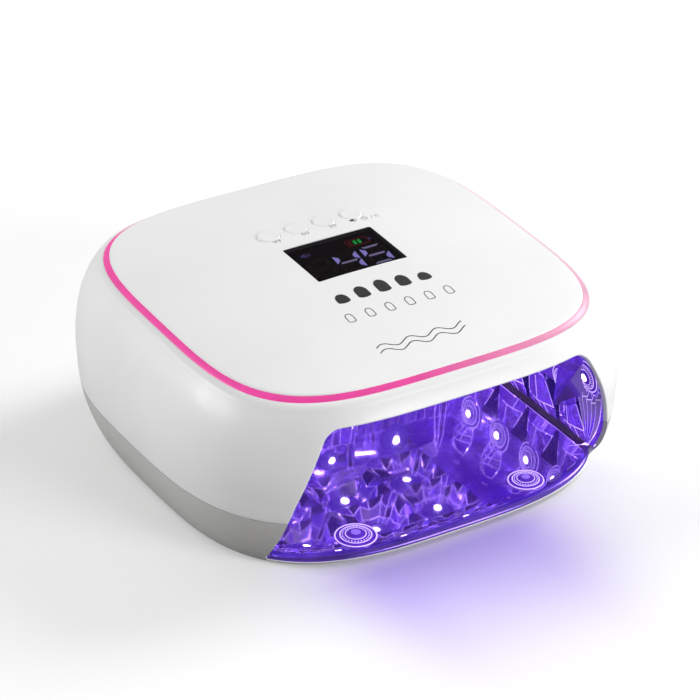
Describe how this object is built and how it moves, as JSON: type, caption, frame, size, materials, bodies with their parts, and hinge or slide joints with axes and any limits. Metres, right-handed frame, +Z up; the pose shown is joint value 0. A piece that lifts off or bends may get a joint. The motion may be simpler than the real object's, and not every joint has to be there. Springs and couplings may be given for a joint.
{
  "type": "uv led nail lamp",
  "caption": "Cordless UV LED nail lamp: rounded white housing with an open front mouth, mirrored curing chamber, crowned cover with display, push buttons and a glowing accent ring.",
  "frame": {"origin": "middle of the whole lamp in plan, on the table surface under the rubber feet", "axes": "+Z up, +X to the right of a person facing the mouth, +Y from the mouth towards the back, so a hand goes in along +Y"},
  "size_m": [0.23, 0.2188, 0.1002],
  "materials": {
    "tray_plastic": "satin moulded ABS, a shade greyer than the housing",
    "housing_plastic": "white satin lacquered ABS",
    "cover_plastic": "white satin lacquered ABS",
    "accent_guide": "frosted light guide, glowing magenta",
    "tape_film": "flexible circuit tape",
    "led_package": "LED package with phosphor window",
    "window_acrylic": "smoked acrylic window",
    "black_plastic": "black moulded nylon",
    "segment_diffuser": "lit diffuser bars",
    "button_plastic": "white satin ABS",
    "dark_plastic": "black acetal",
    "plated_steel": "tin-plated strip",
    "circuit_board": "green solder mask on glass epoxy",
    "chip_epoxy": "black moulding epoxy",
    "mirror_plating": "vacuum-plated ABS, mirror bright",
    "led_board_white": "aluminium-core board with white mask",
    "lens_clear": "clear moulded lens",
    "sensor_epoxy": "infrared-pass epoxy",
    "cell_sleeve": "blue shrink sleeve",
    "ferrite": "ferrite",
    "capacitor_sleeve": "printed shrink sleeve",
    "brass_plated": "nickel-plated brass",
    "cable_grey": "PVC ribbon",
    "cable_red": "PVC sleeve",
    "screw_steel": "zinc-plated steel",
    "foot_rubber": "silicone rubber pad"
  },
  "bodies": {
    "shell": {"lower_housing": "tray_plastic", "upper_housing": "housing_plastic", "top_cover": "cover_plastic", "accent_light_ring": "accent_guide", "accent_led_tape": "tape_film", "accent_leds": "led_package", "display_window": "window_acrylic", "display_module": "black_plastic", "display_segments": "segment_diffuser", "switch_bodies": "plated_steel", "control_board": "circuit_board", "control_chips": "chip_epoxy", "buzzer": "black_plastic", "upper_reflector": "mirror_plating", "base_reflector": "mirror_plating", "side_led_boards": "led_board_white", "ceiling_led_board": "led_board_white", "back_led_board": "led_board_white", "base_led_boards": "led_board_white", "side_led_lenses": "lens_clear", "ceiling_led_lenses": "lens_clear", "back_led_lenses": "lens_clear", "base_led_lenses": "lens_clear", "uv_led_chips": "led_package", "hand_sensor": "sensor_epoxy", "battery_cells": "cell_sleeve", "battery_cradle": "black_plastic", "cell_tabs": "plated_steel", "charger_board": "circuit_board", "driver_board": "circuit_board", "inductor": "ferrite", "capacitors": "capacitor_sleeve", "driver_chips": "chip_epoxy", "dc_jack": "black_plastic", "dc_jack_pin": "brass_plated", "ribbon_cable": "cable_grey", "battery_leads": "cable_red", "housing_screws": "screw_steel", "cover_screws": "screw_steel", "board_screws": "screw_steel", "led_board_screws": "screw_steel", "rubber_feet": "foot_rubber"},
    "button_99s": {"button_99s": "button_plastic"},
    "plunger_99s": {"plunger_99s": "dark_plastic"},
    "button_60s": {"button_60s": "button_plastic"},
    "plunger_60s": {"plunger_60s": "dark_plastic"},
    "button_30s": {"button_30s": "button_plastic"},
    "plunger_30s": {"plunger_30s": "dark_plastic"},
    "button_power": {"button_power": "button_plastic"},
    "plunger_power": {"plunger_power": "dark_plastic"}
  },
  "joints": [
    {"name": "press_99s", "type": "slide", "parent": "shell", "child": "button_99s", "axis": [0, 0, -1], "range_m": [0, 0.0005]},
    {"name": "switch_99s", "type": "slide", "parent": "shell", "child": "plunger_99s", "axis": [0, 0, -1], "range_m": [0, 0.0005]},
    {"name": "press_60s", "type": "slide", "parent": "shell", "child": "button_60s", "axis": [0, 0, -1], "range_m": [0, 0.0005]},
    {"name": "switch_60s", "type": "slide", "parent": "shell", "child": "plunger_60s", "axis": [0, 0, -1], "range_m": [0, 0.0005]},
    {"name": "press_30s", "type": "slide", "parent": "shell", "child": "button_30s", "axis": [0, 0, -1], "range_m": [0, 0.0005]},
    {"name": "switch_30s", "type": "slide", "parent": "shell", "child": "plunger_30s", "axis": [0, 0, -1], "range_m": [0, 0.0005]},
    {"name": "press_power", "type": "slide", "parent": "shell", "child": "button_power", "axis": [0, 0, -1], "range_m": [0, 0.0005]},
    {"name": "switch_power", "type": "slide", "parent": "shell", "child": "plunger_power", "axis": [0, 0, -1], "range_m": [0, 0.0005]}
  ],
  "couplings": [
    {"joint": "switch_99s", "follows": "press_99s", "ratio": 1},
    {"joint": "switch_60s", "follows": "press_60s", "ratio": 1},
    {"joint": "switch_30s", "follows": "press_30s", "ratio": 1},
    {"joint": "switch_power", "follows": "press_power", "ratio": 1}
  ]
}
